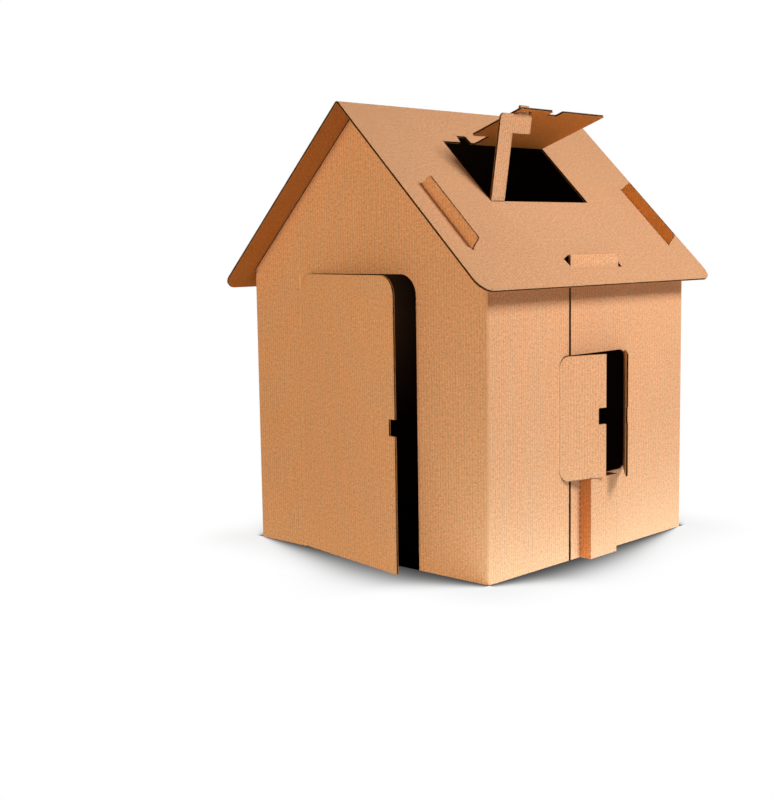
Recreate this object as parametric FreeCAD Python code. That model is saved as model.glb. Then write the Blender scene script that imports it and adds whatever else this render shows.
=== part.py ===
import FreeCAD, Part
import math
import os
from FreeCAD import Vector

# A child's playhouse of corrugated board, folded from three die-cut sheets.
# Frame: +Z up, origin on the floor in the middle of the four walls,
# the door gable faces -Y and the window wall faces +X. Millimetres and degrees.

# Board
board = 6.0                 # thickness of the corrugated board
fold_radius = 3.0           # inside radius of a scored fold
crisp_radius = 0.8          # inside and outside radius of a perforated fold
kerf = 1.0                  # play left by a die cut round a flap
die_radius = 3.0            # corners of the smallest cuts
hinge_gap = 0.4             # play left along a flap's crease
hinge_stand = 0.3           # how far a flap's axis lies outside the board's face
seat = 0.2                  # play where one sheet rests on another

# Walls
house_width = 900.0         # over the side walls
house_depth = 936.0         # over the gables
seam_offset = 112.0         # from the middle of the house to the seam, towards the door
seam_gap = 9.0
apex_radius = 12.0          # blunted tip of each gable, clear of the ridge fold

# Roof
fold_height = 1273.5        # where the faces of the slopes would meet if the ridge were sharp
roof_pitch = 45.0
gable_overhang = 81.0
eave_overhang = 55.5        # measured level, past the side wall
eave_corner_radius = 45.0

# Tabs on the walls that come up through slots in the roof
gable_tab_start = 325.0     # from the ridge, measured down the slope
gable_tab_length = 244.0
gable_tab_height = 35.0     # above the roof
gable_tab_taper = 6.0
eave_tab_lead = 2.0         # past the rear sheet's edge, over the seam
eave_tab_length = 229.0
eave_tab_height = 28.0
tab_corner_radius = 6.0
slot_end_play = 2.0
slot_side_play = 1.5

# Slots for the eave tabs, wider up the slope than the tabs need
eave_slot_play = 6.5        # between the tab and the slot's lower edge, under the board
eave_slot_lead = 5.5        # between the tab and the slot's end, towards the seam
eave_slot_depth = 51.5      # up the slope
eave_slot_flare = 4.5       # how much each end leans outwards
eave_slot_shoulder = 14.0   # corner cut off at each upper end, down the slope
eave_slot_cut = 34.0        # and along it

# Door
door_crease = -250.0        # X of the crease
door_width = 455.0
door_height = 806.0
door_corner_radius = 56.0
door_angle = 10.3           # how far it stands open
door_floor_gap = 1.5

# Window and its two shutters
window_width = 320.0
window_height = 348.0
window_sill = 227.0
window_centre = 0.0         # Y of the middle of the window
window_corner_radius = 32.0
left_shutter_angle = 18.0
right_shutter_angle = 36.5

# Finger notches in the free edges of the flaps
notch_length = 46.0
notch_depth = 26.0
notch_corner_radius = 4.0
door_notch_height = 400.0   # middle of the notch above the floor

# Box pleat under the window
pleat_width = 128.0
pleat_depth = 37.0
perforation_step = 16.0
perforation_length = 6.0
perforation_width = 1.6

# Roof hatch, and the prop that is folded up out of its opening
hatch_crease = 144.0        # from the ridge, measured down the slope
hatch_length = 244.0
hatch_width = 454.0
hatch_centre = -7.5         # Y of the middle of the opening
hatch_corner_radius = 6.0
hatch_angle = 64.0
prop_width = 58.0
prop_head_width = 135.0
prop_head_depth = 52.0
prop_corner_radius = 14.0
prop_angle = 54.0           # between the prop and the opening it was cut from
prop_play = 0.3             # between the prop's head and the hatch it carries
nub_offset = 75.0           # from the prop's outer edge to the nub
nub_root_width = 46.0
nub_tip_width = 37.0
nub_height = 24.0
nub_notch_depth = 27.0      # cut-out above the opening, where the nub came from
nub_play = 1.0

# Worked out from the sizes above
half_width = house_width / 2
half_depth = house_depth / 2
pitch = math.radians(roof_pitch)
roof_end = half_depth + gable_overhang
eave_line = (half_width + eave_overhang) / math.cos(pitch)
gable_seat = -board - seat
wall_top = fold_height - half_width * math.tan(pitch) + gable_seat / math.cos(pitch)
head_room = fold_height + gable_tab_height
rear_edge = seam_gap / 2 - seam_offset
front_edge = rear_edge - seam_gap
eave_tab_low = rear_edge - eave_tab_lead
eave_tab_high = eave_tab_low + eave_tab_length
eave_slot_foot = (half_width + eave_slot_play + board * math.sin(pitch)) / math.cos(pitch)
window_low = window_centre - window_width / 2
window_high = window_centre + window_width / 2
window_top = window_sill + window_height
hatch_low = hatch_centre - hatch_width / 2
hatch_high = hatch_centre + hatch_width / 2
hatch_foot = hatch_crease + hatch_length
prop_edge = hatch_low + kerf
prop_inner_edge = prop_edge + prop_width
prop_head_end = prop_edge + prop_head_width
nub_edge = prop_edge + nub_offset
nub_draw = (nub_root_width - nub_tip_width) / 2
rounded_fold = (fold_radius, fold_radius + board)
crisp_fold = (crisp_radius, crisp_radius)


def hatch_reach(length, depth):
    """Where a point of the prop lies under the open hatch.

    length is measured up the prop from its crease and depth is into its board.
    Returns the distance out along the hatch and the height above its outer face.
    """
    lean = math.radians(prop_angle)
    lift = math.radians(hatch_angle)
    out = hatch_length - length * math.cos(lean) - depth * math.sin(lean)
    up = length * math.sin(lean) - depth * math.cos(lean) - hinge_stand
    along = out * math.cos(lift) + up * math.sin(lift)
    above = up * math.cos(lift) - out * math.sin(lift) + hinge_stand
    return along, above


def prop_reach():
    """Length of the prop whose head just meets the underside of the hatch."""
    start = hatch_reach(0, board)[1]
    rise = hatch_reach(1, board)[1] - start
    return (-board - prop_play - start) / rise


prop_length = prop_reach()


def box(low, high):
    size = [high[i] - low[i] for i in range(3)]
    return Part.makeBox(*size, Vector(*low))


def outline(points, radii):
    """Closed flat wire through the points, with a radius at each corner."""
    corners = [Vector(*point) for point in points]
    count = len(corners)
    starts = []
    ends = []
    edges = []
    for i, corner in enumerate(corners):
        incoming = (corner - corners[i - 1]).normalize()
        outgoing = (corners[(i + 1) % count] - corner).normalize()
        half_turn = incoming.getAngle(outgoing) / 2
        reach = radii[i] * math.tan(half_turn)
        starts.append(corner - incoming * reach)
        ends.append(corner + outgoing * reach)
        if radii[i] > 0:
            inward = (outgoing - incoming).normalize()
            middle = corner + inward * (radii[i] / math.cos(half_turn) - radii[i])
            edges.append(Part.Arc(starts[i], middle, ends[i]).toShape())
    for i in range(count):
        edges.append(Part.makeLine(ends[i - 1], starts[i]))
    return Part.Wire(Part.__sortEdges__(edges))


def plate(points, radii, through):
    """Solid from an outline, carried along a direction."""
    return Part.Face(outline(points, radii)).extrude(Vector(*through))


def folded_section(path, folds, to_point):
    """Section of a board that follows a path and is bent at the path's corners.

    The path runs along the board's outer face with the board on its left. Each fold
    has an inside and an outside radius, and to_point puts a flat pair into space.
    """
    runs = []
    for start, end in zip(path, path[1:]):
        length = math.hypot(end[0] - start[0], end[1] - start[1])
        runs.append(((end[0] - start[0]) / length, (end[1] - start[1]) / length))
    inner = []
    outer_radii = []
    inner_radii = []
    for i, point in enumerate(path):
        before = runs[max(i - 1, 0)]
        after = runs[min(i, len(runs) - 1)]
        scale = board / (1 + before[0] * after[0] + before[1] * after[1])
        inner.append((point[0] - (before[1] + after[1]) * scale,
                      point[1] + (before[0] + after[0]) * scale))
        is_end = i in (0, len(path) - 1)
        tight, wide = (0, 0) if is_end else folds[i - 1]
        bends_left = before[0] * after[1] > before[1] * after[0]
        outer_radii.append(wide if bends_left else tight)
        inner_radii.append(tight if bends_left else wide)
    points = [to_point(*pair) for pair in list(path) + inner[::-1]]
    return Part.Face(outline(points, outer_radii + inner_radii[::-1]))


def on_floor(x, y):
    return x, y, 0


def on_gable_end(x, z):
    return x, -roof_end, z


def slope_point(down, lift):
    """X and Z of a point on the +X slope, lifted above the roof's face."""
    x = down * math.cos(pitch) + lift * math.sin(pitch)
    z = fold_height - down * math.sin(pitch) + lift * math.cos(pitch)
    return x, z


def on_slope(shape, side=1):
    """Lays a flat shape on a slope: its X runs down the slope and its Z points out."""
    laid = shape.copy()
    laid.rotate(Vector(0, 0, 0), Vector(0, 1, 0), roof_pitch)
    laid.translate(Vector(0, 0, fold_height))
    if side < 0:
        laid = laid.mirror(Vector(0, 0, 0), Vector(1, 0, 0))
    return laid


def swung(shape, pivot, axis, angle):
    moved = shape.copy()
    moved.rotate(Vector(*pivot), Vector(*axis), angle)
    return moved


def finger_notch(edge_middle, inward, through):
    """Rounded bite into the free edge of a flap, right through the board."""
    inward = Vector(*inward)
    through = Vector(*through)
    half_along = inward.cross(through) * (notch_length / 2)
    outside = Vector(*edge_middle) - inward * kerf - through * board
    inside = Vector(*edge_middle) + inward * notch_depth - through * board
    points = [outside - half_along, outside + half_along,
              inside + half_along, inside - half_along]
    radii = [0, 0, notch_corner_radius, notch_corner_radius]
    return plate(points, radii, through * (3 * board))


def gable_prism():
    """Everything under the roof, with the tabs that stand up on the slopes."""
    tab_end = gable_tab_start + gable_tab_length
    slope = [
        (*slope_point(tab_end, gable_seat), 0),
        (*slope_point(tab_end - gable_tab_taper, gable_tab_height), tab_corner_radius),
        (*slope_point(gable_tab_start + gable_tab_taper, gable_tab_height), tab_corner_radius),
        (*slope_point(gable_tab_start, gable_seat), 0),
    ]
    other_slope = [(-x, z, radius) for x, z, radius in reversed(slope)]
    apex = (0, fold_height + gable_seat / math.cos(pitch), apex_radius)
    wall = [(-half_width, 0, 0), (half_width, 0, 0), (half_width, wall_top, 0)]
    corners = wall + slope + [apex] + other_slope + [(-half_width, wall_top, 0)]
    points = [(x, -half_depth, z) for x, z, radius in corners]
    radii = [radius for x, z, radius in corners]
    return plate(points, radii, (0, house_depth, 0))


def above_flanges():
    """The space over the side walls' square-cut top edges, between the gables."""
    return box((-half_width, board - half_depth, wall_top), (half_width, half_depth - board, head_room))


def doorway():
    points = [
        (door_crease, -half_depth - board, -board),
        (door_crease + door_width, -half_depth - board, -board),
        (door_crease + door_width, -half_depth - board, door_height),
        (door_crease, -half_depth - board, door_height),
    ]
    return plate(points, [0, 0, door_corner_radius, door_corner_radius], (0, 3 * board, 0))


def window_opening():
    points = [
        (half_width - 2 * board, window_low, window_sill),
        (half_width - 2 * board, window_high, window_sill),
        (half_width - 2 * board, window_high, window_top),
        (half_width - 2 * board, window_low, window_top),
    ]
    return plate(points, [window_corner_radius] * 4, (3 * board, 0, 0))


def front_walls():
    """Door gable with a short flange on each side, from one folded sheet."""
    path = [(-half_width, front_edge), (-half_width, -half_depth),
            (half_width, -half_depth), (half_width, front_edge)]
    section = folded_section(path, [rounded_fold] * 2, on_floor)
    sheet = section.extrude(Vector(0, 0, head_room)).common(gable_prism())
    return sheet.cut([above_flanges(), doorway(), window_opening()])


def eave_tab(side):
    face = side * half_width
    root = wall_top - board
    top = fold_height - half_width * math.tan(pitch) + eave_tab_height
    points = [(face, eave_tab_low, root), (face, eave_tab_high, root),
              (face, eave_tab_high, top), (face, eave_tab_low, top)]
    return plate(points, [0, 0, die_radius, die_radius], (-side * board, 0, 0))


def perforations():
    """Slits through the board, one above another on each of the pleat's four folds."""
    low = (-board, -perforation_width / 2, -perforation_length / 2)
    high = (board, perforation_width / 2, perforation_length / 2)
    slits = []
    for x in (half_width, half_width + pleat_depth):
        for side in (-1, 1):
            y = window_centre + side * (pleat_width - board) / 2
            for i in range(int(window_sill / perforation_step)):
                slit = box(low, high)
                slit.rotate(Vector(0, 0, 0), Vector(0, 0, 1), 45 * side)
                slit.translate(Vector(x - board / 2, y, (i + 0.5) * perforation_step))
                slits.append(slit)
    return slits


def rear_walls():
    """Plain gable with two long flanges. The window wall's flange has the box pleat."""
    low = window_centre - pleat_width / 2
    high = window_centre + pleat_width / 2
    raised = half_width + pleat_depth
    plain = [(half_width, rear_edge), (half_width, half_depth),
             (-half_width, half_depth), (-half_width, rear_edge)]
    pleat = [(half_width, low), (raised, low), (raised, high), (half_width, high)]
    upper = folded_section(plain, [rounded_fold] * 2, on_floor)
    lower = folded_section(plain[:1] + pleat + plain[1:],
                           [crisp_fold] * 4 + [rounded_fold] * 2, on_floor)
    sheet = upper.extrude(Vector(0, 0, head_room)).common(gable_prism())
    sheet = sheet.cut([above_flanges(), window_opening()])
    below_sill = box((-house_width, -house_depth, -board), (house_width, house_depth, window_sill))
    sheet = sheet.cut(below_sill)
    skirt = lower.extrude(Vector(0, 0, window_sill)).cut(perforations())
    return sheet.fuse([skirt, eave_tab(1), eave_tab(-1)]).removeSplitter()


def eave_corner(end):
    """Waste outside a rounded eave corner, at one end of the ridge."""
    inset = eave_line - eave_corner_radius
    centre = end * (roof_end - eave_corner_radius)
    waste = box((inset, min(centre, end * roof_end), -2 * board),
                (eave_line, max(centre, end * roof_end), board))
    disc = Part.makeCylinder(eave_corner_radius, 3 * board, Vector(inset, centre, -2 * board))
    return waste.cut(disc)


def gable_slot(end):
    near = half_depth - board - slot_side_play
    far = half_depth + slot_side_play
    return box((gable_tab_start - slot_end_play, min(end * near, end * far), -2 * board),
               (gable_tab_start + gable_tab_length + slot_end_play, max(end * near, end * far), board))


def eave_slot():
    """Slot for an eave tab in a flat slope. The tab stands near its lower edge."""
    base = -2 * board
    low = eave_tab_low - eave_slot_lead
    high = eave_tab_high + slot_end_play
    top = eave_slot_foot - eave_slot_depth
    shoulder = top + eave_slot_shoulder
    points = [
        (eave_slot_foot, low, base),
        (eave_slot_foot, high, base),
        (shoulder, high + eave_slot_flare, base),
        (top, high + eave_slot_flare - eave_slot_cut, base),
        (top, low - eave_slot_flare + eave_slot_cut, base),
        (shoulder, low - eave_slot_flare, base),
    ]
    return plate(points, [0] * 6, (0, 0, 3 * board))


def hatch_opening():
    """Opening in a flat slope, with the cut-out that the prop's nub left above it."""
    base = -2 * board
    corners = [(hatch_crease, hatch_low, base), (hatch_foot, hatch_low, base),
               (hatch_foot, hatch_high, base), (hatch_crease, hatch_high, base)]
    radii = [0, 0, hatch_corner_radius, 0]
    low = nub_edge - kerf
    high = nub_edge + nub_root_width + kerf
    top = hatch_crease - nub_notch_depth
    notch = [(hatch_crease + kerf, low, base), (hatch_crease + kerf, high, base),
             (top, high - nub_draw, base), (top, low + nub_draw, base)]
    through = (0, 0, 3 * board)
    return plate(corners, radii, through).fuse(plate(notch, [0, 0, die_radius, die_radius], through))


def prop():
    """Strip with a hooked head, hinged up on the crease at the foot of the opening."""
    shoulder = hatch_foot - prop_length
    tip = shoulder - nub_height
    points = [
        (hatch_foot, prop_edge, -board),
        (hatch_foot, prop_inner_edge, -board),
        (shoulder + prop_head_depth, prop_inner_edge, -board),
        (shoulder + prop_head_depth, prop_head_end, -board),
        (shoulder, prop_head_end, -board),
        (shoulder, nub_edge + nub_root_width, -board),
        (tip, nub_edge + nub_root_width - nub_draw, -board),
        (tip, nub_edge + nub_draw, -board),
        (shoulder, nub_edge, -board),
        (shoulder, prop_edge, -board),
    ]
    radii = [0, 0] + [die_radius] * 3 + [0, die_radius, die_radius, 0, prop_corner_radius]
    flat = plate(points, radii, (0, 0, board))
    pivot = (hatch_foot, 0, 0)
    root = [(hatch_foot, prop_edge, -board), (hatch_foot, prop_inner_edge, -board),
            (hatch_foot, prop_inner_edge, 0), (hatch_foot, prop_edge, 0)]
    root_face = Part.Face(outline(root, [0] * 4))
    fold = root_face.revolve(Vector(*pivot), Vector(0, 1, 0), prop_angle)
    return swung(flat, pivot, (0, 1, 0), prop_angle).fuse(fold)


def roof():
    """Both slopes, folded at the ridge, with the prop standing up in its opening."""
    end_x, end_z = slope_point(eave_line, 0)
    path = [(end_x, end_z), (0, fold_height), (-end_x, end_z)]
    section = folded_section(path, [rounded_fold], on_gable_end)
    sheet = section.extrude(Vector(0, 2 * roof_end, 0))
    cuts = [on_slope(hatch_opening())]
    for side in (1, -1):
        cuts.append(on_slope(eave_slot(), side))
        for end in (1, -1):
            cuts.append(on_slope(eave_corner(end), side))
            cuts.append(on_slope(gable_slot(end), side))
    return sheet.cut(cuts).fuse(on_slope(prop())).removeSplitter()


def door():
    left = door_crease + hinge_gap
    right = door_crease + door_width - kerf
    top = door_height - kerf
    points = [(left, -half_depth, door_floor_gap), (right, -half_depth, door_floor_gap),
              (right, -half_depth, top), (left, -half_depth, top)]
    rounding = door_corner_radius - kerf
    leaf = plate(points, [0, 0, rounding, rounding], (0, board, 0))
    leaf = leaf.cut(finger_notch((right, -half_depth, door_notch_height), (-1, 0, 0), (0, 1, 0)))
    return swung(leaf, (door_crease, -half_depth - hinge_stand, 0), (0, 0, 1), -door_angle)


def shutter(side, angle):
    """Half of the window's board, hinged on the side given (-1 towards the door)."""
    hinge = window_centre + side * window_width / 2
    root = hinge - side * hinge_gap
    free = window_centre + side * kerf / 2
    low = window_sill + kerf
    high = window_top - kerf
    face = half_width - board
    points = [(face, root, low), (face, free, low), (face, free, high), (face, root, high)]
    rounding = window_corner_radius - kerf
    leaf = plate(points, [rounding, 0, 0, rounding], (board, 0, 0))
    middle = (face, free, (window_sill + window_top) / 2)
    leaf = leaf.cut(finger_notch(middle, (0, side, 0), (1, 0, 0)))
    return swung(leaf, (half_width + hinge_stand, hinge, 0), (0, 0, 1), side * angle)


def nub_slot():
    """Slot near the hatch's free edge that lets the prop's nub slide out as it lifts."""
    near = hatch_crease + hatch_reach(prop_length, board)[0] - nub_play
    far = hatch_crease + hatch_reach(prop_length + nub_height, 0)[0] + nub_play
    return box((near, nub_edge - nub_play, -2 * board),
               (far, nub_edge + nub_root_width + nub_play, board))


def roof_hatch():
    step = hatch_foot - prop_length + prop_head_depth + kerf
    edge = prop_inner_edge + kerf
    points = [
        (hatch_crease + hinge_gap, prop_head_end + kerf, -board),
        (hatch_crease + hinge_gap, hatch_high - kerf, -board),
        (hatch_foot - kerf, hatch_high - kerf, -board),
        (hatch_foot - kerf, edge, -board),
        (step, edge, -board),
        (step, prop_head_end + kerf, -board),
    ]
    flap = plate(points, [0, 0, hatch_corner_radius] + [die_radius] * 3, (0, 0, board))
    middle = (hatch_foot - kerf, hatch_centre, -board)
    flap = flap.cut([finger_notch(middle, (-1, 0, 0), (0, 0, 1)), nub_slot()])
    return on_slope(swung(flap, (hatch_crease, 0, hinge_stand), (0, 1, 0), -hatch_angle))


def main():
    nodes = {
        "front_walls": front_walls(),
        "rear_walls": rear_walls(),
        "roof": roof(),
        "door": door(),
        "left_shutter": shutter(-1, left_shutter_angle),
        "right_shutter": shutter(1, right_shutter_angle),
        "roof_hatch": roof_hatch(),
    }
    os.makedirs("parts", exist_ok=True)
    for name, shape in nodes.items():
        shape.exportStep(os.path.join("parts", name + ".step"))
        solids = shape.Solids
        volume = sum(solid.Volume for solid in solids)
        print(name, len(solids), "solid", round(volume), "mm3", "valid" if shape.isValid() else "BAD")


main()
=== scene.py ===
import math
import bmesh
import bpy
from mathutils import Matrix, Vector


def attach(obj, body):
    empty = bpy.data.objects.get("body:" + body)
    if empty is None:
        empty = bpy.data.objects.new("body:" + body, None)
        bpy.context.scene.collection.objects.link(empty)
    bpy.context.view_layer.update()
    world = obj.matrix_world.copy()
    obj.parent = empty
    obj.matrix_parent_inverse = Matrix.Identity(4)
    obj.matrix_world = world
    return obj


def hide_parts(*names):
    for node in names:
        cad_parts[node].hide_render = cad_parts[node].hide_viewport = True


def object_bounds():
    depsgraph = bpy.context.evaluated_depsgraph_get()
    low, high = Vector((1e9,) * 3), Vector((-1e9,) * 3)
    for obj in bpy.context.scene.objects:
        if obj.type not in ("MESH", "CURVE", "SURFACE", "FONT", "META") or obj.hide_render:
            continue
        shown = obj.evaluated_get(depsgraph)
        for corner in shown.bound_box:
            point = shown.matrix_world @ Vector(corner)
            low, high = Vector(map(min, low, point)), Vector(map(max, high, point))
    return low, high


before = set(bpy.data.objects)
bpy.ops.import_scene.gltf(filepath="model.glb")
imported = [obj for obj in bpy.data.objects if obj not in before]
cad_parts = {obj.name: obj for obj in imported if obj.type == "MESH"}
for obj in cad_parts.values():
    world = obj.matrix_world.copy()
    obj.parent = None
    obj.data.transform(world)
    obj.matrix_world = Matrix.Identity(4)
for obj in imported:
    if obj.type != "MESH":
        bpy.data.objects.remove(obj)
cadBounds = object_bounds()
houseMiddle = Vector((0, 0, (cadBounds[0][2] + cadBounds[1][2]) / 2))
mm = 0.001

# What every sheet is made of, in metres and radians
board = {
    "thickness": 6.0 * mm,
    "liner": 0.5 * mm,              # each of the two flat papers
    "weld": 0.01 * mm,
    "sharpTurn": math.radians(40),  # a sharper turn than this is a cut edge
    "cutWidth": 8.0 * mm,           # a wider face than this is a liner, not a cut edge
}

# The wavy paper between the two flat ones. It is made only near the cuts, where it shows.
flutes = {
    "paper": 0.35 * mm,
    "pitch": 9.3 * mm,
    "wander": 14.0 * mm,            # how unevenly the cut meets the flutes
    "wanderScale": 28.0,            # how quickly that changes from place to place
    "seed": 7.0,
    "start": 0.8 * mm,              # how far they lie behind the cut
    "reach": 10.0 * mm,             # how far in from the cut they are made
    "waveSteps": 8,                 # points to one flute
    "edgeStep": 9.0 * mm,           # points along a cut that runs with the flutes
    "shortestCut": 30.0 * mm,       # perforations stay hollow inside
    "sharpestMitre": 0.5,           # keeps a strip from shooting out at a sharp corner
    "weld": 0.001 * mm,
}

# The room under the roof, in metres. The ridge is the height of its underside.
room = {"halfWidth": 0.4495, "halfDepth": 0.4675, "ridge": 1.266}


def toLinear(colour):
    def one(value):
        value = value / 255
        return value / 12.92 if value <= 0.04045 else ((value + 0.055) / 1.055) ** 2.4
    return tuple(one(value) for value in colour)


def addNode(tree, kind, inputs=None, **settings):
    node = tree.nodes.new(kind)
    for name, value in settings.items():
        setattr(node, name, value)
    for name, value in (inputs or {}).items():
        socket = node.inputs[name]
        if isinstance(value, bpy.types.NodeSocket):
            tree.links.new(value, socket)
        else:
            socket.default_value = value
    return node


def calculate(tree, operation, first, second=0.0, third=0.0):
    node = addNode(tree, "ShaderNodeMath", {0: first, 1: second, 2: third}, operation=operation)
    return node.outputs[0]


def isOver(tree, value, limit):
    return calculate(tree, "GREATER_THAN", value, limit)


def isUnder(tree, value, limit):
    return calculate(tree, "LESS_THAN", value, limit)


def sizeOf(tree, value):
    return calculate(tree, "ABSOLUTE", value)


# One where every mask is one
def allOf(tree, mask, *others):
    for other in others:
        mask = calculate(tree, "MULTIPLY", mask, other)
    return mask


# One less the value
def restOf(tree, value):
    return calculate(tree, "SUBTRACT", 1.0, value)


# Nought up to the start, and one from the end on
def ramp(tree, value, start, end):
    node = addNode(tree, "ShaderNodeMapRange", {"Value": value, "From Min": start, "From Max": end})
    return node.outputs[0]


# The length of a vector with these parts
def distanceOf(tree, offsets):
    apart = addNode(tree, "ShaderNodeCombineXYZ", offsets)
    node = addNode(tree, "ShaderNodeVectorMath", {0: apart.outputs[0]}, operation="LENGTH")
    return node.outputs["Value"]


# Papers: sRGB colour, and how strongly each kind of mark shows on it
papers = {
    "outer_paper": {"colour": (226, 167, 119), "cloud": 0.03, "streak": 0.10, "mottle": 0.48,
                    "fibre": 0.24, "flute": 0.07, "relief": 0.15 * mm, "roughness": 0.85,
                    # edge: painted shade beside cuts and sharp folds
                    "roomShade": 0.0, "edge": -0.45},
    "inner_paper": {"colour": (212, 137, 66), "cloud": 0.05, "streak": 0.12, "mottle": 0.42,
                    "fibre": 0.20, "flute": 0.06, "relief": 0.2 * mm, "roughness": 0.9,
                    "roomShade": 0.94},
    "cut_paper": {"colour": (205, 156, 110), "cloud": 0.03, "streak": 0.04, "mottle": 0.12,
                  "fibre": 0.05, "flute": 0.0, "relief": 0.3 * mm, "roughness": 0.95,
                  "roomShade": 0.0},
    # Painted shade: the flute paper is near black for the shade in the hollows between the flat papers; the
    # real paper is browner
    "shaded_flute_paper": {"colour": (42, 23, 12), "cloud": 0.05, "streak": 0.08, "mottle": 0.10,
                    "fibre": 0.05, "flute": 0.0, "relief": 0.2 * mm, "roughness": 0.95,
                    "roomShade": 0.4},
}
paperSheen = 0.2    # matt paper reflects less than the shader's own 0.5

# The marks' sizes across and along the flutes, in metres
marks = {
    "cloud": {"across": 0.11, "along": 0.11, "detail": 3.0},
    "streak": {"across": 0.0045, "along": 0.15, "detail": 2.0},
    "mottle": {"across": 0.0048, "along": 0.0042, "detail": 2.0},
    "fibre": {"across": 0.0075, "along": 0.0085, "detail": 1.0},
}


# A noise centred on nought
def paperNoise(tree, vector, mark):
    scale = (1 / mark["across"], 1 / mark["along"], 1 / mark["across"])
    stretched = addNode(tree, "ShaderNodeMapping", {"Vector": vector, "Scale": scale})
    noise = addNode(tree, "ShaderNodeTexNoise", {
        "Vector": stretched.outputs[0], "Scale": 1.0, "Detail": mark["detail"]})
    return calculate(tree, "SUBTRACT", noise.outputs["Fac"], 0.5)


# Creases and scores, paler or darker than the paper: each runs along one axis from one end of
# its span to the other, and the other two coordinates say where it lies
scores = {
    "door": {"place": {"X": -0.25, "Y": -0.4683}, "span": (0, 0.8), "width": 3.5 * mm, "pale": 0.26},
    "left shutter": {"place": {"X": 0.4503, "Y": -0.16}, "span": (0.26, 0.54),
                     "width": 1.8 * mm, "pale": 0.18},
    "left shutter's edge": {"place": {"X": 0.45, "Y": -0.1662}, "span": (0.26, 0.54),
                            "width": 1.6 * mm, "pale": 0.14},
    "right shutter": {"place": {"X": 0.4503, "Y": 0.16}, "span": (0.26, 0.54),
                      "width": 1.8 * mm, "pale": 0.18},
    "gable left": {"place": {"X": -0.022, "Y": -0.468}, "span": (0.87, 1.02),
                   "width": 1.5 * mm, "pale": 0.10},
    "gable right": {"place": {"X": 0.0645, "Y": -0.468}, "span": (0.81, 0.91),
                    "width": 1.5 * mm, "pale": 0.08},
    # The prop's foot is a darker line: painted shade where the prop meets the roof
    "prop's foot": {"place": {"X": 0.2744, "Z": 0.9991}, "span": (-0.2335, -0.1755),
                    "width": 3.5 * mm, "pale": -0.5},
}
scoreCore = 0.4     # share of its width at which a score has its full strength


# The score's paleness on its line, falling to nought at its width
def scoreMask(tree, parts, score):
    offsets = {name: calculate(tree, "SUBTRACT", parts[name], value)
               for name, value in score["place"].items()}
    near = ramp(tree, distanceOf(tree, offsets), score["width"], scoreCore * score["width"])
    own = next(parts[name] for name in "XYZ" if name not in score["place"])
    start, end = score["span"]
    mask = allOf(tree, near, isOver(tree, own, start), isUnder(tree, own, end))
    return calculate(tree, "MULTIPLY", mask, score["pale"])


# Painted shade beside a cut or a sharp fold, which darkens the paper there: how far in it reaches,
# and the cosines of the turns at which it starts and is at its full strength
cutEdgeShade = {"reach": 2.2 * mm, "flat": 0.995, "turned": 0.85, "samples": 4}


def edgeShadeMask(tree):
    rounded = addNode(tree, "ShaderNodeBevel", {"Radius": cutEdgeShade["reach"]}, samples=cutEdgeShade["samples"])
    faced = addNode(tree, "ShaderNodeNewGeometry").outputs["Normal"]
    agree = addNode(tree, "ShaderNodeVectorMath", {0: rounded.outputs[0], 1: faced},
                    operation="DOT_PRODUCT")
    return ramp(tree, agree.outputs["Value"], cutEdgeShade["flat"], cutEdgeShade["turned"])


# One inside the room, and nought outside it
def roomMask(tree, parts):
    wide = sizeOf(tree, parts["X"])
    slope = calculate(tree, "ADD", wide, parts["Z"])
    return allOf(tree, isUnder(tree, wide, room["halfWidth"]),
                 isUnder(tree, sizeOf(tree, parts["Y"]), room["halfDepth"]),
                 isUnder(tree, slope, room["ridge"]))


# The pleat below the window: its sides face along the wall, and painted shade makes them darker and browner
pleat = {"root": 0.4515, "top": 0.232, "sideways": 0.7, "pleatShade": (0.86, 0.50, 0.24)}


def paintedPleatShade(tree, parts):
    normal = addNode(tree, "ShaderNodeTexCoord").outputs["Normal"]
    facing = addNode(tree, "ShaderNodeSeparateXYZ", {0: normal}).outputs["Y"]
    mask = allOf(tree, isOver(tree, sizeOf(tree, facing), pleat["sideways"]),
                 isOver(tree, parts["X"], pleat["root"]), isUnder(tree, parts["Z"], pleat["top"]))
    change = {axis: calculate(tree, "MULTIPLY_ADD", mask, part - 1, 1.0)
              for axis, part in zip("XYZ", pleat["pleatShade"])}
    return addNode(tree, "ShaderNodeCombineXYZ", change).outputs[0]


# Painted shade: the dark line in the gap where a gable meets a slope: how far down the gable it
# reaches, at which share of that it has its full strength, and how dark it is
gap = {"seat": 1.2647, "reach": 4.5 * mm, "core": 0.7, "above": 0.5 * mm, "offWall": 1.0 * mm,
       "dark": 0.92}


# One on the gables close under the slopes, where the painted shade lies, and nought elsewhere
def gapShadeMask(tree, parts):
    deep = sizeOf(tree, parts["Y"])
    off = sizeOf(tree, calculate(tree, "SUBTRACT", deep, room["halfDepth"]))
    slope = calculate(tree, "ADD", sizeOf(tree, parts["X"]), parts["Z"])
    below = calculate(tree, "SUBTRACT", gap["seat"], slope)
    near = ramp(tree, below, gap["reach"], gap["core"] * gap["reach"])
    return allOf(tree, near, isUnder(tree, off, gap["offWall"]), isOver(tree, below, -gap["above"]))


def markOuterPaper(tree, parts, shade, edge):
    for score in scores.values():
        shade = calculate(tree, "ADD", shade, scoreMask(tree, parts, score))
    # Painted shade beside cuts and sharp folds
    shade = calculate(tree, "MULTIPLY_ADD", edgeShadeMask(tree), edge, shade)
    # Painted shade in the gaps under the slopes
    light = calculate(tree, "MULTIPLY_ADD", gapShadeMask(tree, parts), -gap["dark"], 1.0)
    return calculate(tree, "MULTIPLY", shade, light)


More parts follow.
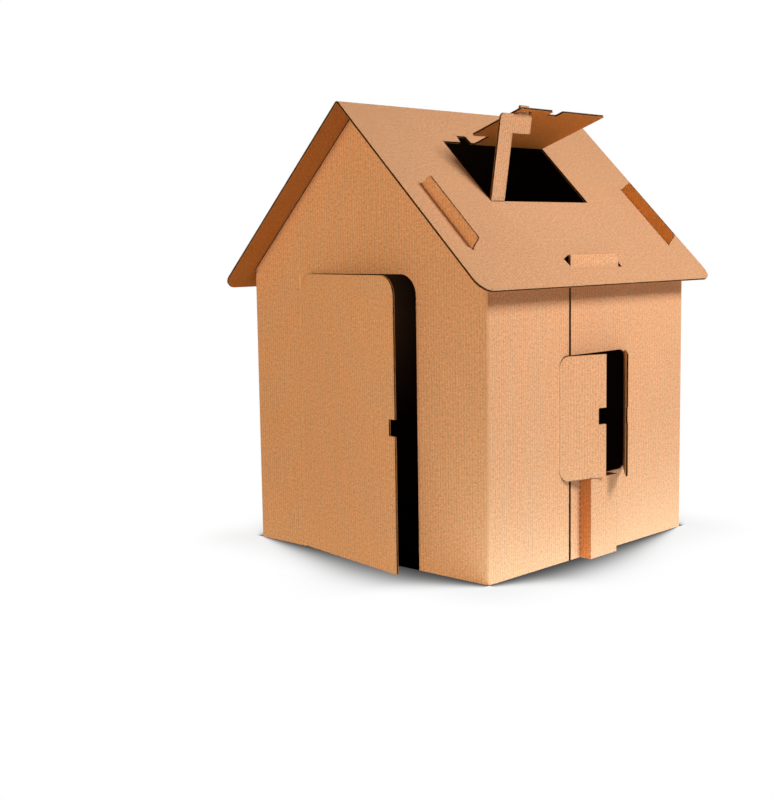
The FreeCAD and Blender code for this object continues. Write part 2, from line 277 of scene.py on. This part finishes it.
# Painted shade: little light comes into the room, so the paper in it is darkened. The flaps swing
# out of it, so they stay as they are.
def paintRoomShade(tree, parts, shade, share):
    indoors = addNode(tree, "ShaderNodeAttribute", attribute_name="indoors").outputs["Fac"]
    inRoom = allOf(tree, roomMask(tree, parts), indoors)
    return calculate(tree, "MULTIPLY", shade, calculate(tree, "MULTIPLY_ADD", inRoom, -share, 1.0))


def makePaper(name, paper):
    material = bpy.data.materials.new(name)
    material.use_nodes = True
    tree = material.node_tree
    tree.nodes.clear()
    grain = addNode(tree, "ShaderNodeUVMap", uv_map="grain").outputs["UV"]
    space = addNode(tree, "ShaderNodeTexCoord").outputs["Object"]
    parts = addNode(tree, "ShaderNodeSeparateXYZ", {0: space}).outputs
    noises = {mark: paperNoise(tree, space if mark == "cloud" else grain, marks[mark]) for mark in marks}
    shade = 1.0
    for mark, noise in noises.items():
        shade = calculate(tree, "MULTIPLY_ADD", noise, 2 * paper[mark], shade)
    across = addNode(tree, "ShaderNodeSeparateXYZ", {0: grain}).outputs["X"]
    flute = calculate(tree, "SINE", calculate(tree, "MULTIPLY", across, 2 * math.pi / flutes["pitch"]))
    shade = calculate(tree, "MULTIPLY_ADD", flute, paper["flute"], shade)
    pleatShade = (1.0, 1.0, 1.0)
    if name == "outer_paper":
        shade = markOuterPaper(tree, parts, shade, paper["edge"])
        # Painted shade on the sides of the pleat
        pleatShade = paintedPleatShade(tree, parts)
    # Painted shade inside the room
    if paper["roomShade"]:
        shade = paintRoomShade(tree, parts, shade, paper["roomShade"])
    # The sheet's painted light and shade
    lightAndShadeTone = addNode(tree, "ShaderNodeAttribute", attribute_name="lightAndShadeTone").outputs["Fac"]
    shade = calculate(tree, "MULTIPLY", shade, lightAndShadeTone)
    plain = addNode(tree, "ShaderNodeVectorMath", {0: toLinear(paper["colour"]), "Scale": shade},
                    operation="SCALE")
    colour = addNode(tree, "ShaderNodeVectorMath", {0: plain.outputs[0], 1: pleatShade}, operation="MULTIPLY")
    relief = calculate(tree, "MULTIPLY", noises["mottle"], paper["relief"])
    bump = addNode(tree, "ShaderNodeBump", {"Height": relief, "Strength": 1.0, "Distance": 1.0})
    shader = addNode(tree, "ShaderNodeBsdfPrincipled", {
        "Base Color": colour.outputs[0], "Roughness": paper["roughness"],
        "Specular IOR Level": paperSheen, "Normal": bump.outputs[0]})
    addNode(tree, "ShaderNodeOutputMaterial", {"Surface": shader.outputs[0]})
    return material


materials = {name: makePaper(name, paper) for name, paper in papers.items()}

# A sheet's material slots: each liner's rim lies two slots after the liner itself
slotPapers = ("outer_paper", "inner_paper", "cut_paper", "cut_paper", "shaded_flute_paper")
outerSlot, innerSlot, outerRimSlot, innerRimSlot, fluteSlot = range(len(slotPapers))
print("papers made")


# The tree that waves flat strips of paper through the board and gives them thickness
def makeFluteTree():
    tree = bpy.data.node_groups.new("corrugated_strip", "GeometryNodeTree")
    face = tree.interface
    face.new_socket("Strips", in_out="INPUT", socket_type="NodeSocketGeometry")
    for name in ("Pitch", "Height", "Paper", "Wander", "Wander scale", "Seed"):
        face.new_socket(name, in_out="INPUT", socket_type="NodeSocketFloat")
    for name in ("Material", "Cut material"):
        face.new_socket(name, in_out="INPUT", socket_type="NodeSocketMaterial")
    face.new_socket("Flutes", in_out="OUTPUT", socket_type="NodeSocketGeometry")
    given = addNode(tree, "NodeGroupInput").outputs
    across = addNode(tree, "GeometryNodeInputNamedAttribute", {"Name": "across"},
                     data_type="FLOAT").outputs[0]
    through = addNode(tree, "GeometryNodeInputNamedAttribute", {"Name": "through"},
                      data_type="FLOAT_VECTOR").outputs[0]
    place = addNode(tree, "GeometryNodeInputPosition").outputs[0]
    noise = addNode(tree, "ShaderNodeTexNoise", {
        "Vector": place, "W": given["Seed"], "Scale": given["Wander scale"], "Detail": 1.0},
        noise_dimensions="4D").outputs[0]
    centred = calculate(tree, "SUBTRACT", noise, 0.5)
    shifted = calculate(tree, "MULTIPLY_ADD", centred, given["Wander"], across)
    waves = calculate(tree, "DIVIDE", shifted, given["Pitch"])
    angle = calculate(tree, "MULTIPLY", waves, 2 * math.pi)
    half = calculate(tree, "MULTIPLY", given["Height"], 0.5)
    lift = calculate(tree, "MULTIPLY", calculate(tree, "SINE", angle), half)
    offset = addNode(tree, "ShaderNodeVectorMath", {0: through, "Scale": lift}, operation="SCALE")
    waved = addNode(tree, "GeometryNodeSetPosition", {
        "Geometry": given["Strips"], "Offset": offset.outputs[0]}).outputs[0]
    thick = addNode(tree, "GeometryNodeExtrudeMesh", {
        "Mesh": waved, "Offset Scale": given["Paper"], "Individual": False}, mode="FACES")
    back = addNode(tree, "GeometryNodeFlipFaces", {"Mesh": waved}).outputs[0]
    both = addNode(tree, "GeometryNodeJoinGeometry")
    tree.links.new(thick.outputs["Mesh"], both.inputs[0])
    tree.links.new(back, both.inputs[0])
    closed = addNode(tree, "GeometryNodeMergeByDistance", {
        "Geometry": both.outputs[0], "Distance": flutes["weld"]})
    real = addNode(tree, "GeometryNodeRealizeInstances", {"Geometry": closed.outputs[0]})
    paper = addNode(tree, "GeometryNodeSetMaterial", {
        "Geometry": real.outputs[0], "Material": given["Material"]})
    rim = addNode(tree, "GeometryNodeSetMaterial", {
        "Geometry": paper.outputs[0], "Selection": thick.outputs["Side"], "Material": given["Cut material"]})
    addNode(tree, "NodeGroupOutput", {"Flutes": rim.outputs[0]})
    return tree


fluteTree = makeFluteTree()
print("flute tree made")


def addObject(name, data):
    obj = bpy.data.objects.new(name, data)
    bpy.context.scene.collection.objects.link(obj)
    return obj


# The object's mesh with its modifiers applied. The object itself is removed.
def frozenMesh(obj):
    depsgraph = bpy.context.evaluated_depsgraph_get()
    mesh = bpy.data.meshes.new_from_object(obj.evaluated_get(depsgraph), depsgraph=depsgraph)
    bpy.data.objects.remove(obj)
    return mesh


# A finished mesh from a bmesh, which is freed
def meshFrom(name, source):
    data = bpy.data.meshes.new(name)
    source.to_mesh(data)
    source.free()
    return data


def weldedCopy(nodeName):
    mesh = bmesh.new()
    mesh.from_mesh(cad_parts[nodeName].data)
    bmesh.ops.remove_doubles(mesh, verts=mesh.verts, dist=board["weld"])
    mesh.normal_update()
    return mesh


# Sets of faces that run into each other without a sharp turn
def smoothPatches(mesh):
    patches = []
    seen = set()
    for first in mesh.faces:
        if first in seen:
            continue
        seen.add(first)
        patch = [first]
        for face in patch:
            for edge in face.edges:
                for other in edge.link_faces:
                    if other not in seen and face.normal.angle(other.normal, 0) < board["sharpTurn"]:
                        seen.add(other)
                        patch.append(other)
        patches.append(set(patch))
    return patches


def rimEdges(patch):
    edges = {edge for face in patch for edge in face.edges}
    return [edge for edge in edges if sum(face in patch for face in edge.link_faces) == 1]


def isLiner(patch):
    area = sum(face.calc_area() for face in patch)
    rim = sum(edge.calc_length() for edge in rimEdges(patch))
    return area > rim * board["cutWidth"] / 2


def looksOutward(patch):
    return sum(face.calc_area() * face.normal.dot(face.calc_center_median() - houseMiddle)
               for face in patch) > 0


# The two flat papers of a sheet, each as a thin closed shell
def makeLiners(name, mesh, outer, inner):
    shell = mesh.copy()
    for face, source in zip(shell.faces, mesh.faces):
        face.material_index = innerSlot if source in inner else outerSlot
        face.tag = source not in inner and source not in outer
    bmesh.ops.delete(shell, geom=[face for face in shell.faces if face.tag], context="FACES")
    data = meshFrom(name, shell)
    for paper in slotPapers[:fluteSlot]:
        data.materials.append(materials[paper])
    obj = addObject(name, data)
    wall = obj.modifiers.new("paper", "SOLIDIFY")
    wall.thickness = board["liner"]
    wall.offset = -1
    wall.use_even_offset = True
    wall.use_quality_normals = True
    wall.material_offset_rim = outerRimSlot - outerSlot
    return frozenMesh(obj)


# The directions across and along the flutes on a face. On a face that lies square to the
# flutes, any two will do.
def grainAxes(normal, run):
    if run == "downSlope":
        across = Vector((0, 1, 0))
        along = normal.cross(across)
    else:
        along = Vector((0, 0, 1))
        across = along.cross(normal)
    shortest = 0.1
    if across.length < shortest or along.length < shortest:
        return Vector((1, 0, 0)), Vector((0, 1, 0))
    return across.normalized(), along.normalized()


def patchFace(edge, patch):
    return next(face for face in edge.link_faces if face in patch)


# Rim edges in loops that are long enough to be worth fluting
def longCuts(rim):
    waiting = set(rim)
    kept = []
    while waiting:
        loop = [waiting.pop()]
        for edge in loop:
            for vert in edge.verts:
                for other in vert.link_edges:
                    if other in waiting:
                        waiting.remove(other)
                        loop.append(other)
        if sum(edge.calc_length() for edge in loop) > flutes["shortestCut"]:
            kept.extend(loop)
    return kept


# At each point of a rim: the directions in from the edges that meet there, and their normals
def rimDirections(patch, rim):
    inward = {}
    normals = {}
    for edge in rim:
        face = patchFace(edge, patch)
        start = edge.verts[0].co
        line = (edge.verts[1].co - start).normalized()
        side = face.normal.cross(line)
        if side.dot(face.calc_center_median() - start) < 0:
            side.negate()
        for vert in edge.verts:
            inward.setdefault(vert, []).append(side)
            normals.setdefault(vert, []).append(face.normal)
    return inward, normals


# A strip's corner at a rim's point: its place in the middle of the board, the way in, the normal
def stripCorner(vert, inward, normals):
    total = sum(inward, Vector())
    mitre = total / max(total.length_squared / len(inward), flutes["sharpestMitre"])
    normal = sum(normals, Vector()).normalized()
    return vert.co - normal * board["thickness"] / 2, mitre, normal


# A flat grid from one corner to the other and in from the cut, fine enough to hold the waves
def layStrip(strips, layers, corners, acrossAxis):
    (start, startIn, startNormal), (end, endIn, endNormal) = corners
    step = flutes["pitch"] / flutes["waveSteps"]
    columns = max(1, math.ceil(abs((end - start).dot(acrossAxis)) / step),
                  math.ceil((end - start).length / flutes["edgeStep"]))
    rows = max(1, math.ceil(abs(startIn.dot(acrossAxis)) * flutes["reach"] / step))
    grid = []
    for column in range(columns + 1):
        part = column / columns
        base = start.lerp(end, part)
        mitre = startIn.lerp(endIn, part)
        normal = startNormal.lerp(endNormal, part).normalized()
        line = []
        for row in range(rows + 1):
            depth = flutes["start"] + (flutes["reach"] - flutes["start"]) * row / rows
            vert = strips.verts.new(base + mitre * depth)
            vert[layers["across"]] = vert.co.dot(acrossAxis)
            vert[layers["through"]] = normal
            line.append(vert)
        grid.append(line)
    for line, after in zip(grid, grid[1:]):
        for row in range(rows):
            strips.faces.new((line[row], after[row], after[row + 1], line[row + 1]))


# Flat strips just inside each long cut edge, ready to be waved
def makeStrips(name, patches, run):
    strips = bmesh.new()
    layers = {"across": strips.verts.layers.float.new("across"),
              "through": strips.verts.layers.float_vector.new("through")}
    for patch in patches:
        rim = rimEdges(patch)
        inward, normals = rimDirections(patch, rim)
        for edge in longCuts(rim):
            acrossAxis = grainAxes(patchFace(edge, patch).normal, run)[0]
            corners = [stripCorner(vert, inward[vert], normals[vert]) for vert in edge.verts]
            layStrip(strips, layers, corners, acrossAxis)
    return meshFrom(name, strips)


def makeFlutes(name, patches, run):
    obj = addObject(name, makeStrips(name, patches, run))
    wave = obj.modifiers.new("flutes", "NODES")
    wave.node_group = fluteTree
    core = board["thickness"] - 2 * board["liner"] - flutes["paper"]
    values = {"Pitch": flutes["pitch"], "Height": core, "Paper": flutes["paper"],
              "Wander": flutes["wander"], "Wander scale": flutes["wanderScale"], "Seed": flutes["seed"],
              "Material": materials["shaded_flute_paper"], "Cut material": materials["cut_paper"]}
    for socket in fluteTree.interface.items_tree:
        if socket.in_out == "INPUT" and socket.name in values:
            wave[socket.identifier] = values[socket.name]
    return frozenMesh(obj)


# Grain coordinates in metres: U runs across the flutes and V along them
def layGrain(data, run):
    layer = data.uv_layers.new(name="grain")
    for polygon in data.polygons:
        across, along = grainAxes(polygon.normal, run)
        for corner in polygon.loop_indices:
            place = data.vertices[data.loops[corner].vertex_index].co
            layer.data[corner].uv = (place.dot(across), place.dot(along))


def addFaceValues(data, name, values):
    attribute = data.attributes.new(name, "FLOAT", "FACE")
    attribute.data.foreach_set("value", values)


# Sheets and flaps: the CAD node, the body it moves with, which way its flutes run, and how
# light its outer and its inner paper are beside the others, as painted light and shade: the roof
# darker, the hatch's underside and the left shutter lighter
sheets = {
    "front_sheet": {"node": "front_walls", "body": "house", "run": "upright",
                    "lightAndShadeTone": 1.0, "innerLightAndShadeTone": 1.0},
    "rear_sheet": {"node": "rear_walls", "body": "house", "run": "upright",
                   "lightAndShadeTone": 1.0, "innerLightAndShadeTone": 1.0},
    "roof_sheet": {"node": "roof", "body": "house", "run": "downSlope",
                   "lightAndShadeTone": 0.78, "innerLightAndShadeTone": 0.78},
    "door_leaf": {"node": "door", "body": "door_flap", "run": "upright",
                  "lightAndShadeTone": 1.0, "innerLightAndShadeTone": 1.0},
    "left_shutter_leaf": {"node": "left_shutter", "body": "left_flap", "run": "upright",
                          "lightAndShadeTone": 1.06, "innerLightAndShadeTone": 1.06},
    "right_shutter_leaf": {"node": "right_shutter", "body": "right_flap", "run": "upright",
                           "lightAndShadeTone": 1.0, "innerLightAndShadeTone": 1.0},
    "hatch_leaf": {"node": "roof_hatch", "body": "hatch_flap", "run": "downSlope",
                   "lightAndShadeTone": 0.78, "innerLightAndShadeTone": 1.15},
}


def makeSheet(name, sheet):
    mesh = weldedCopy(sheet["node"])
    liners = [patch for patch in smoothPatches(mesh) if isLiner(patch)]
    outerPatches = [patch for patch in liners if looksOutward(patch)]
    outer = set().union(*outerPatches)
    inner = set().union(*(patch for patch in liners if not looksOutward(patch)))
    papersMesh = makeLiners(name + "_papers", mesh, outer, inner)
    flutesMesh = makeFlutes(name + "_flutes", outerPatches, sheet["run"])
    mesh.free()
    slots = [innerRimSlot if material == materials["cut_paper"] else fluteSlot
             for material in flutesMesh.materials]
    for polygon in flutesMesh.polygons:
        polygon.material_index = slots[polygon.material_index]
    whole = bmesh.new()
    whole.from_mesh(papersMesh)
    whole.from_mesh(flutesMesh)
    data = meshFrom(name, whole)
    for paper in slotPapers:
        data.materials.append(materials[paper])
    layGrain(data, sheet["run"])
    addFaceValues(data, "lightAndShadeTone", [sheet["innerLightAndShadeTone"] if polygon.material_index == innerSlot
                                 else sheet["lightAndShadeTone"] for polygon in data.polygons])
    addFaceValues(data, "indoors", [float(sheet["body"] == "house")] * len(data.polygons))
    data.shade_smooth()
    data.set_sharp_from_angle(angle=board["sharpTurn"])
    obj = addObject(name, data)
    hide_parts(sheet["node"])
    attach(obj, sheet["body"])
    print(name, "made:", len(outerPatches), "outer papers,", len(data.polygons), "faces")


for name, sheet in sheets.items():
    makeSheet(name, sheet)

# The view: the angles of the line of sight, and where it points. Metres and degrees.
view = {"azimuth": 43.873, "elevation": 6.883, "roll": -0.91, "distance": 3.984,
        "lookAt": (-0.1703, -0.1946, 0.4154), "lens": 58.94, "farthest": 100}


def makeCamera():
    turn = math.radians(view["azimuth"])
    rise = math.radians(view["elevation"])
    roll = math.radians(view["roll"])
    back = Vector((math.sin(turn) * math.cos(rise), -math.cos(turn) * math.cos(rise), math.sin(rise)))
    right = Vector((math.cos(turn), math.sin(turn), 0))
    up = back.cross(right)
    rolledRight = right * math.cos(roll) + up * math.sin(roll)
    rolledUp = up * math.cos(roll) - right * math.sin(roll)
    camera = addObject("camera", bpy.data.cameras.new("camera"))
    camera.matrix_world = Matrix((rolledRight, rolledUp, back)).transposed().to_4x4()
    camera.location = Vector(view["lookAt"]) + back * view["distance"]
    camera.data.lens = view["lens"]
    camera.data.clip_end = view["farthest"]
    bpy.context.scene.camera = camera


makeCamera()
print("camera made")

# Lamps and surround. Metres and watts.
surround = {"level": 0.12, "colour": (1.0, 0.76, 0.46, 1)}
lamps = {
    "key": {"place": (2.5, 0.45, 2.55), "aim": (0.35, 0.1, 0.7), "size": (0.9, 0.9), "watts": 91,
            "colour": (0.89, 0.92, 1.0)},
    "front": {"place": (-0.1, -4.0, 1.6), "aim": (0, -0.46, 0.65), "size": (0.8, 1.6), "watts": 60,
              "colour": (1.0, 0.87, 0.66)},
    "back": {"place": (-3.2, 2.8, 1.6), "aim": (0, 0, 0.6), "size": (2.0, 2.0), "watts": 130,
             "colour": (1.0, 0.94, 0.84)},
    "low": {"place": (1.9, 0.9, 0.25), "aim": (0.45, 0.3, 0.3), "size": (1.6, 0.4), "watts": 1.5,
            "colour": (0.5, 0.7, 1.0)},
}


def makeLamp(name, lamp):
    light = bpy.data.lights.new(name, "AREA")
    light.shape = "RECTANGLE"
    light.size, light.size_y = lamp["size"]
    light.energy = lamp["watts"]
    light.color = lamp["colour"]
    obj = addObject(name, light)
    obj.location = lamp["place"]
    obj.visible_camera = False
    away = Vector(lamp["place"]) - Vector(lamp["aim"])
    obj.rotation_euler = away.to_track_quat("Z", "Y").to_euler()


# One for the rays that show a background, and nought for those that light the house
def seenRays(tree):
    path = addNode(tree, "ShaderNodeLightPath").outputs
    seen = calculate(tree, "MAXIMUM", path["Is Camera Ray"], path["Is Glossy Ray"])
    return calculate(tree, "MAXIMUM", seen, path["Is Transmission Ray"])


def makeSurround():
    world = bpy.data.worlds.new("surround")
    bpy.context.scene.world = world
    world.use_nodes = True
    tree = world.node_tree
    tree.nodes.clear()
    soft = addNode(tree, "ShaderNodeBackground", {
        "Color": surround["colour"], "Strength": surround["level"]})
    white = addNode(tree, "ShaderNodeBackground", {"Color": (1, 1, 1, 1), "Strength": 1.0})
    both = addNode(tree, "ShaderNodeMixShader", {
        0: seenRays(tree), 1: soft.outputs[0], 2: white.outputs[0]})
    addNode(tree, "ShaderNodeOutputWorld", {"Surface": both.outputs[0]})


# The floor, in metres. What lights the house and what is seen of it are set apart.
ground = {
    "size": 30.0,
    "colour": (0.4, 0.41, 0.42),
    "inRoom": 0.04,                 # how pale it is inside the house, as a share of that: painted shade
    "lampShare": 0.15,              # share of its look that comes from the lamps, at the walls
    "lampReach": 0.25,              # where that share has faded out
}

# Painted light: the floor glows, though it is no lamp, and gives the house the light a lit paper sweep
# would throw back: all over, and more of it in a strip beside the window wall and in one before the door
glows = {
    "all over": {"strength": 0.20, "colour": (1.0, 0.66, 0.32, 1)},
    "beside": {"strength": 2.5, "colour": (0.5, 0.76, 1.0, 1)},
    "before": {"strength": 0.38, "colour": (0.85, 1.0, 1.0, 1)},
}
glowStrip = {"width": 0.25, "halfLength": 1.5}     # out from the wall, and either way along it

# The soft shade at the foot of the walls: along which axis it runs, where it starts and ends, how
# fast it widens and narrows there, and how wide it gets
footShades = (
    {"along": "X", "across": "Y", "start": -0.45, "rise": 0.24, "end": 0.48, "fall": 0.5, "width": 0.13},
    {"along": "Y", "across": "X", "start": -0.5, "rise": 0.4, "end": 0.46, "fall": 0.18, "width": 0.095},
)
foot = {
    "sharpness": 2.5,               # how suddenly the shade ends
    "narrowest": 2.0 * mm,
    "tipBlend": 0.02,               # how gently widening turns into narrowing
    "widthBlend": 0.03,             # and into the full width
}
halves = {"X": room["halfWidth"], "Y": room["halfDepth"]}     # where the walls stand


# One at a wall's foot, falling to nought over a width that changes along the wall
def footShade(tree, shade, along, beyond):
    widening = calculate(tree, "MULTIPLY", calculate(tree, "SUBTRACT", along, shade["start"]), shade["rise"])
    narrowing = calculate(tree, "MULTIPLY", calculate(tree, "SUBTRACT", shade["end"], along), shade["fall"])
    width = calculate(tree, "SMOOTH_MIN", widening, narrowing, foot["tipBlend"])
    width = calculate(tree, "SMOOTH_MIN", width, shade["width"], foot["widthBlend"])
    wall = isUnder(tree, sizeOf(tree, along), halves[shade["along"]] + foot["narrowest"])
    there = allOf(tree, wall, isOver(tree, width, foot["narrowest"]), isOver(tree, beyond, 0.0))
    share = calculate(tree, "DIVIDE", beyond, calculate(tree, "MAXIMUM", width, foot["narrowest"]))
    power = calculate(tree, "MULTIPLY", calculate(tree, "SUBTRACT", share, 1.0), foot["sharpness"])
    fade = calculate(tree, "ADD", calculate(tree, "EXPONENT", power), 1.0)
    return calculate(tree, "DIVIDE", there, fade)


# One on a strip of the floor beside a wall, from how far out from the wall and how far along it
# a point lies
def stripMask(tree, beyond, along):
    half = glowStrip["width"] / 2
    middle = calculate(tree, "SUBTRACT", beyond, half)
    return allOf(tree, isUnder(tree, sizeOf(tree, middle), half),
                 isUnder(tree, sizeOf(tree, along), glowStrip["halfLength"]))


# The floor looks white, darkens towards the foot of the walls, and is dark in the room
def floorMaterial():
    material = bpy.data.materials.new("floor")
    material.use_nodes = True
    tree = material.node_tree
    tree.nodes.clear()
    space = addNode(tree, "ShaderNodeTexCoord").outputs["Object"]
    parts = addNode(tree, "ShaderNodeSeparateXYZ", {0: space}).outputs
    beyond = {axis: calculate(tree, "SUBTRACT", sizeOf(tree, parts[axis]), half)
              for axis, half in halves.items()}
    clear = calculate(tree, "MAXIMUM", *(isOver(tree, part, 0.0) for part in beyond.values()))
    dark = 0.0
    for shade in footShades:
        lobe = footShade(tree, shade, parts[shade["along"]], beyond[shade["across"]])
        dark = calculate(tree, "MAXIMUM", dark, lobe)
    seen = seenRays(tree)

    # What the lamps make of it, and the light it gives the house
    # Painted shade: dark in the room, and for the seen rays darker at the foot of the walls
    paleness = calculate(tree, "MULTIPLY_ADD", clear, 1 - ground["inRoom"], ground["inRoom"])
    paleness = allOf(tree, paleness, restOf(tree, allOf(tree, dark, seen, clear)))
    colour = addNode(tree, "ShaderNodeVectorMath", {0: ground["colour"], "Scale": paleness},
                     operation="SCALE")
    lit = addNode(tree, "ShaderNodeBsdfDiffuse", {"Color": colour.outputs[0]})
    wallSide = calculate(tree, "SUBTRACT", parts["X"], room["halfWidth"])
    doorSide = calculate(tree, "SUBTRACT", calculate(tree, "MULTIPLY", parts["Y"], -1.0), room["halfDepth"])
    unseen = allOf(tree, clear, restOf(tree, seen))
    places = {"all over": unseen,
              "beside": allOf(tree, unseen, stripMask(tree, wallSide, parts["Y"])),
              "before": allOf(tree, unseen, stripMask(tree, doorSide, parts["X"]))}
    for name, glow in glows.items():
        strength = calculate(tree, "MULTIPLY", places[name], glow["strength"])
        light = addNode(tree, "ShaderNodeEmission", {"Color": glow["colour"], "Strength": strength})
        lit = addNode(tree, "ShaderNodeAddShader", {0: lit.outputs[0], 1: light.outputs[0]})

    # What is seen of it: white, but for the shade and for the lamps' share close to the walls
    level = allOf(tree, restOf(tree, dark), clear)
    white = addNode(tree, "ShaderNodeEmission", {"Strength": level})
    away = {axis: calculate(tree, "MAXIMUM", part, 0.0) for axis, part in beyond.items()}
    near = addNode(tree, "ShaderNodeMapRange", {
        "Value": distanceOf(tree, away), "From Max": ground["lampReach"],
        "To Min": ground["lampShare"], "To Max": 0.0}, interpolation_type="SMOOTHSTEP").outputs[0]
    drawn = allOf(tree, seen, restOf(tree, near))
    both = addNode(tree, "ShaderNodeMixShader", {0: drawn, 1: lit.outputs[0], 2: white.outputs[0]})
    addNode(tree, "ShaderNodeOutputMaterial", {"Surface": both.outputs[0]})
    return material


def makeFloor():
    half = ground["size"] / 2
    data = bpy.data.meshes.new("floor")
    data.from_pydata([(-half, -half, 0), (half, -half, 0), (half, half, 0), (-half, half, 0)],
                     [], [(0, 1, 2, 3)])
    data.materials.append(floorMaterial())
    addObject("floor", data)


makeSurround()
for name, lamp in lamps.items():
    makeLamp(name, lamp)
makeFloor()
bpy.context.scene.view_settings.view_transform = "Standard"
print("studio made")
